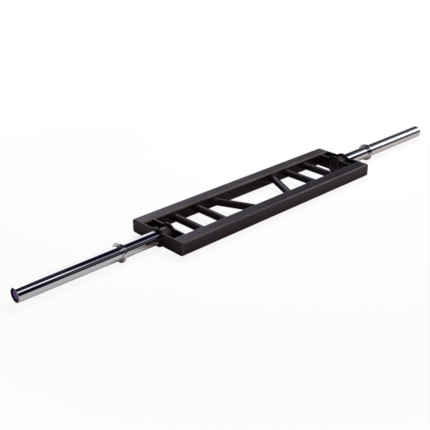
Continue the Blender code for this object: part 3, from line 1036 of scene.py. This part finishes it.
@dataclass
class Sleeve:
    """One chrome sleeve with its collar, end cap and inlay."""

    side: Side
    steps: int = 160
    wall: float = 0.004
    start_ease: Ease = Ease(0.0012, 6)
    mouth_wall: float = 0.002
    mouth_depth: float = 0.0048
    mouth_ease: Ease = Ease(0.0018, 10)
    shoulder_rise: float = 0.004
    shoulder_length: float = 0.008
    shoulder_ease: Ease = Ease(0.0012, 6)
    flange_ease: Ease = Ease(0.0022, 8)
    root_fillet: Ease = Ease(0.0010, 4)
    seat: float = 0.0002
    lip_depth: float = 0.004
    lip_width: float = 0.0036
    lip_ease: Ease = Ease(0.0010, 6)
    dish_ease: Ease = Ease(0.0014, 8)
    dish_fillet: Ease = Ease(0.0012, 6)
    disc_ease: float = 0.0006
    disc_ease_power: int = 8
    disc_rim_drop: float = 0.0002
    disc_crown: float = 0.0003
    disc_sink: float = 0.0001
    disc_steps: int = 12

    def build(self) -> None:
        """Builds everything that turns with the sleeve."""
        self.build_tube()
        self.build_collar()
        self.build_cap()
        for piece in ("inner_bush", "outer_bush"):
            dress_node(self.side.node(piece), BRONZE)

    def add_turned(self, piece: str, detail: str, profile: list[Point], finish: Finish) -> None:
        """Turns a piece and puts it in its node's place, with a word of detail after the node's name."""
        node, sleeve = self.side.node(piece), Body(self.side.node("sleeve"))
        add_piece(f"{node}_{detail}", turned(profile, self.steps, self.side), finish, (node,), sleeve)

    def build_tube(self) -> None:
        """Builds the tube, with rounded ends and a wider bore in its mouth."""
        start, end, radius = self.side.span("sleeve_tube")
        step, mouth, bore = end - self.mouth_depth, radius - self.mouth_wall, radius - self.wall
        profile = [*self.start_ease.at((start, radius), 180, 90), *self.mouth_ease.at((end, radius), 90, 0)]
        profile += [(end, mouth), (step, mouth), (step, bore), (start, bore)]
        self.add_turned("sleeve_tube", "shell", profile, CHROME)

    def build_collar(self) -> None:
        """Builds the flange and the lower shoulder inboard of it, with a small fillet at each root."""
        start, end, rim = self.side.span("collar")
        tube = self.side.span("sleeve_tube").radius
        shoulder = tube + self.shoulder_rise
        step = start + self.shoulder_length
        profile = [
            (start - self.root_fillet.radius, tube - self.seat),
            *self.root_fillet.at((start, tube), 270, 360),
            *self.shoulder_ease.at((start, shoulder), 180, 90),
            *self.root_fillet.at((step, shoulder), 270, 360),
            *self.flange_ease.at((step, rim), 180, 90),
            *self.flange_ease.at((end, rim), 90, 0),
            *self.root_fillet.at((end, tube), 180, 270),
            (end + self.root_fillet.radius, tube - self.seat),
        ]
        self.add_turned("collar", "ring", profile, CHROME)

    def build_cap(self) -> None:
        """Builds the cap, a dish whose lip fills the tube's mouth, and the crowned inlay in it."""
        cap, disc = self.side.span("end_cap"), self.side.span("cap_disc")
        top, floor = cap.outboard, disc.inboard + self.disc_sink
        skirt = self.side.span("sleeve_tube").radius - self.wall - 2 * self.seat
        dish = cap.radius - self.lip_width
        profile = [
            (cap.inboard, 0.0),
            (cap.inboard, skirt),
            (top - self.lip_depth, skirt),
            (top - self.lip_depth, cap.radius),
            *self.lip_ease.at((top, cap.radius), 90, 0),
            *self.dish_ease.at((top, dish), 0, -90),
            *self.dish_fillet.at((floor, dish), 90, 180),
            (floor, 0.0),
        ]
        self.add_turned("end_cap", "moulding", profile, CAP_PLASTIC)
        inlay = [(disc.inboard, 0.0)]
        for i in range(self.disc_steps + 1):
            share = i / self.disc_steps
            reach = disc.radius * share - self.disc_ease * share ** self.disc_ease_power
            inlay.append((disc.outboard - self.disc_crown * share * share, reach))
        shoulder = disc.outboard - self.disc_crown - self.disc_rim_drop
        inlay += [(shoulder, disc.radius), (disc.inboard, disc.radius)]
        self.add_turned("cap_disc", "inlay", inlay, PURPLE)


@dataclass(frozen=True)
class Panel:
    """A lit stretch of the studio that polished metal shows.

    Its angles go about the X axis, in degrees, from level at the back (0) over the top to level at the
    front (180). Its reach is in shares of the way along X: 0 is square across the bar, and 1 straight
    along it. A panel that leans has its angles grow along X, by so many degrees for a whole share.
    """

    angles: Pair
    angle_blur: float
    reach: Pair
    reach_blur: float
    strength: float
    lean: float = 0.0
    lean_about: float = 0.0
    tint: Colour = WHITE

    def shown(self, graph: Graph, along: Socket, turn: Socket) -> Socket:
        """Works out which directions the panel takes up.

        Args:
            graph: The world's tree.
            along: Share of the direction that is along X.
            turn: Angle of the direction about the X axis, in degrees.

        Returns:
            1 on the panel and 0 off it.
        """
        ahead = graph.math("SUBTRACT", along, self.lean_about)
        leaned = graph.math("SUBTRACT", turn, graph.math("MULTIPLY", ahead, self.lean))
        across = graph.window(leaned, self.angles, self.angle_blur)
        return graph.math("MULTIPLY", across, graph.window(along, self.reach, self.reach_blur))


@dataclass
class Floor:
    """A round pale floor that keeps the bar's shadow, and glows to the camera and to polished metal, with
    painted shadows in what metal sees.
    """

    reach: float = 16.0
    steps: int = 96
    albedo: float = 0.28
    glow: Pair = (1.50, 1.70)
    glow_reach: Pair = (0.9, 2.6)
    glow_share: float = 0.60
    mirror_share: float = 0.42
    mirror_edge: Pair = (-0.55, -0.25)
    mirror_tints: tuple[Colour, Colour] = ((0.97, 0.97, 1.0), (1.0, 0.92, 0.88))
    tint_reach: Pair = (-0.8, 1.0)
    # Painted warm shade: the glow that metal sees turns to this tint where painted shadows bring its share
    # below shade_share
    shade_tint: Colour = (1.0, 0.86, 0.74)
    shade_share: float = 0.26
    # How far each painted shadow on the glow that metal sees reaches, and what it leaves of the glow at its
    # darkest
    frame_shade: Pair = (0.100, 0.04)
    sleeve_shade: Pair = (0.09, 0.72)
    collar_shade: Pair = (0.085, 0.02)
    side_shade_stretch: float = 1.1
    collar_shade_shift: float = 0.010

    def build(self) -> None:
        """Lays the floor just under the bar's lowest point."""
        shape = bmesh.new()
        under = Matrix.Translation((0.0, 0.0, cad_box[0].z))
        bmesh.ops.create_circle(shape, cap_ends=True, segments=self.steps, radius=self.reach, matrix=under)
        mesh = bpy.data.meshes.new("floor")
        shape.to_mesh(mesh)
        shape.free()
        floor = put("floor", mesh)
        material = bpy.data.materials.new("pale_floor")
        material.use_nodes = True
        mesh.materials.append(material)
        self.lay(Graph(material.node_tree))

    def lay(self, graph: Graph) -> None:
        """Lays out the floor's finish.

        Args:
            graph: The floor's tree.
        """
        plain = graph.add("BsdfDiffuse", {"Color": (*[self.albedo] * 3, 1.0)})
        spot = graph.add("SeparateXYZ", {0: graph.place()}).outputs
        camera, mirrored = graph.rays()
        bright = self.mirrored_glow(graph, spot["X"], spot["Y"])
        sided = graph.tint(graph.fade(spot["X"], *self.tint_reach), *self.mirror_tints)
        # Painted warm shade where the painted shadows dim the glow
        shaded = graph.tint(graph.fade(bright, 0.0, self.shade_share), self.shade_tint, sided)
        strength = graph.fade(graph.length(graph.place()), *self.glow_reach, *self.glow)
        glow = graph.add("Emission", {"Color": graph.tint(mirrored, WHITE, shaded), "Strength": strength})
        glossy = graph.math("MULTIPLY", mirrored, bright)
        share = graph.add("Mix", {0: camera, 2: glossy, 3: self.glow_share}).outputs[0]
        mixed = graph.add("MixShader", {0: share, 1: plain.outputs[0], 2: glow.outputs[0]})
        graph.feed(graph.tree.nodes["Material Output"], {"Surface": mixed.outputs[0]})
        graph.tree.nodes.remove(graph.tree.nodes["Principled BSDF"])

    def mirrored_glow(self, graph: Graph, x: Socket, y: Socket) -> Socket:
        """Works out how much of the floor's glow polished metal shows.

        Args:
            graph: The floor's tree.
            x: Place on the floor, along the bar.
            y: Place on the floor, across the bar.

        Returns:
            The share: less under painted shadows round the frame and under the sleeves and collars, and none
                well in front.
        """
        from_middle, across = (graph.math("ABSOLUTE", place) for place in (x, y))
        past_end = graph.math("SUBTRACT", from_middle, Side.RIGHT.span("outer_plate").outboard)
        past_side = graph.math("SUBTRACT", across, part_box("back_rail")[1].y)
        clear = graph.math("MAXIMUM", past_end, graph.math("DIVIDE", past_side, self.side_shade_stretch))
        inboard, outboard, _ = Side.RIGHT.span("collar")
        beside = graph.math("SUBTRACT", from_middle, (inboard + outboard) / 2)
        behind = graph.math("SUBTRACT", y, self.collar_shade_shift)
        apart = graph.length(graph.add("CombineXYZ", {"X": beside, "Y": behind}).outputs[0])
        share = graph.fade(y, *self.mirror_edge, 0.0, self.mirror_share)
        # Painted shadows on the glow that metal sees: round the frame, under the sleeves and under the
        # collars
        shades = ((clear, self.frame_shade), (across, self.sleeve_shade), (apart, self.collar_shade))
        for away, shade in shades:
            share = graph.math("MULTIPLY", share, graph.fade(away, 0.0, *shade))
        return share


@dataclass
class Surroundings:
    """What is all round the bar: white to the camera, panels to polished metal, a soft fill to the rest."""

    front_fill: Colour = (0.80, 0.42, 0.27)
    fill: Colour = (0.030, 0.025, 0.030)
    fill_edge: Pair = (0.1, -0.9)
    dark: Colour = (0.0032, 0.0042, 0.0190)
    panels: tuple[Panel, ...] = (
        Panel((-60, 58.5), 10, (0.25, 0.56), 0.03, 1.0, -78.0, 0.48),
        Panel((-60, 56), 9, (0.05, 0.69), 0.1, 0.5, tint=(0.98, 0.97, 1.04)),
        Panel((70, 110), 12, (-1.5, 0.458), 0.02, 0.018, tint=(0.9, 1.0, 1.7)),
        Panel((0, 58), 6, (0.3, 0.41), 0.02, 3.2),
        Panel((-60, 56), 9, (-1.5, 0.1), 0.1, 0.22),
        Panel((121, 134), 4, (-1.5, 0.467), 0.03, 1.3),
        Panel((119, 134), 4, (-1.5, 0.6), 0.05, 0.42, tint=(0.96, 0.97, 1.1)),
        Panel((149, 164), 5, (0.45, 0.6), 0.03, 0.11),
        Panel((107.5, 136), 4, (0.7, 0.777), 0.05, 2.6),
        Panel((105, 141), 8, (0.779, 1.5), 0.012, 2.4),
        Panel((74, 108), 6, (0.76, 1.5), 0.03, 0.34, tint=(0.93, 0.98, 1.05)),
        Panel((149, 166), 5, (0.769, 1.5), 0.012, 0.24, tint=(0.93, 1.0, 1.08)),
        Panel((5, 40), 8, (0.77, 1.5), 0.02, 0.2),
    )

    def build(self) -> None:
        """Builds the world."""
        world = bpy.data.worlds.new("studio")
        world.use_nodes = True
        bpy.context.scene.world = world
        world.cycles.sampling_method = "NONE"
        graph = Graph(world.node_tree)
        way = graph.add("SeparateXYZ", {0: graph.add("TexCoord").outputs["Generated"]}).outputs
        turn = graph.math("DEGREES", graph.math("ARCTAN2", way["Z"], way["Y"]))
        light = self.dark
        for panel in self.panels:
            full = Vector(panel.tint) * panel.strength
            inputs = {0: panel.shown(graph, way["X"], turn), 1: full, 2: light}
            light = graph.add("VectorMath", inputs, operation="MULTIPLY_ADD").outputs[0]
        camera, mirrored = graph.rays()
        soft = graph.tint(graph.fade(way["Y"], *self.fill_edge), self.fill, self.front_fill)
        shown = graph.tint(camera, graph.tint(mirrored, soft, light), WHITE)
        graph.feed(world.node_tree.nodes["Background"], {"Color": shown})


@dataclass
class Studio:
    """The floor, the light round the bar and the camera."""

    key_place: Triple = (0.75, 0.45, 2.4)
    key_target: Triple = (0.2, 0.0, 0.0)
    key_size: float = 1.6
    key_power: float = 54.0
    camera_place: Triple = (-1.9959, -1.8417, 1.2049)
    camera_tilt: float = 64.60
    camera_heading: float = -43.75
    camera_lens: float = 65.64

    def build(self) -> None:
        """Builds the studio."""
        Floor().build()
        Surroundings().build()
        self.build_key()
        self.build_camera()
        bpy.context.scene.view_settings.view_transform = "Standard"

    def build_key(self) -> None:
        """Hangs a broad soft lamp over the bar, which polished metal doesn't show."""
        lamp = bpy.data.lights.new("key", "AREA")
        lamp.size = self.key_size
        lamp.energy = self.key_power
        key = put("key", lamp)
        key.location = self.key_place
        aim = Vector(self.key_target) - Vector(self.key_place)
        key.rotation_euler = aim.to_track_quat("-Z", "Y").to_euler()
        key.visible_camera = key.visible_glossy = False

    def build_camera(self) -> None:
        """Stands the camera where the photograph was taken from."""
        lens = bpy.data.cameras.new("camera")
        lens.lens = self.camera_lens
        camera = put("camera", lens)
        camera.location = self.camera_place
        camera.rotation_euler = (math.radians(self.camera_tilt), 0.0, math.radians(self.camera_heading))
        bpy.context.scene.camera = camera


@dataclass
class TricepsBar:
    """The whole bar, sub-assembly by sub-assembly."""

    vent_inset: float = 0.046
    slants: tuple[tuple[str, float], ...] = (("outer", 0.0), ("middle", 0.0), ("angled", 25.0))

    def build(self) -> None:
        """Builds the rails, the handles, the sleeve mounts and the sleeves."""
        vents = tuple(side.at(side.span("outer_plate").outboard - self.vent_inset) for side in Side)
        Rail("front_rail", vents).build()
        Rail("back_rail").build()
        for side in Side:
            for label, slant in self.slants:
                node = side.node(f"{label}_handle")
                low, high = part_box(node)
                Handle(node, (low.x + high.x) / 2, math.radians(side.at(slant))).build()
            SleeveMount(side).build()
            Sleeve(side).build()


def main() -> None:
    """Builds the bar and its studio."""
    logging.basicConfig(level=logging.INFO, format="%(name)s: %(message)s")
    TricepsBar().build()
    Studio().build()


if __name__ == "__main__":
    main()
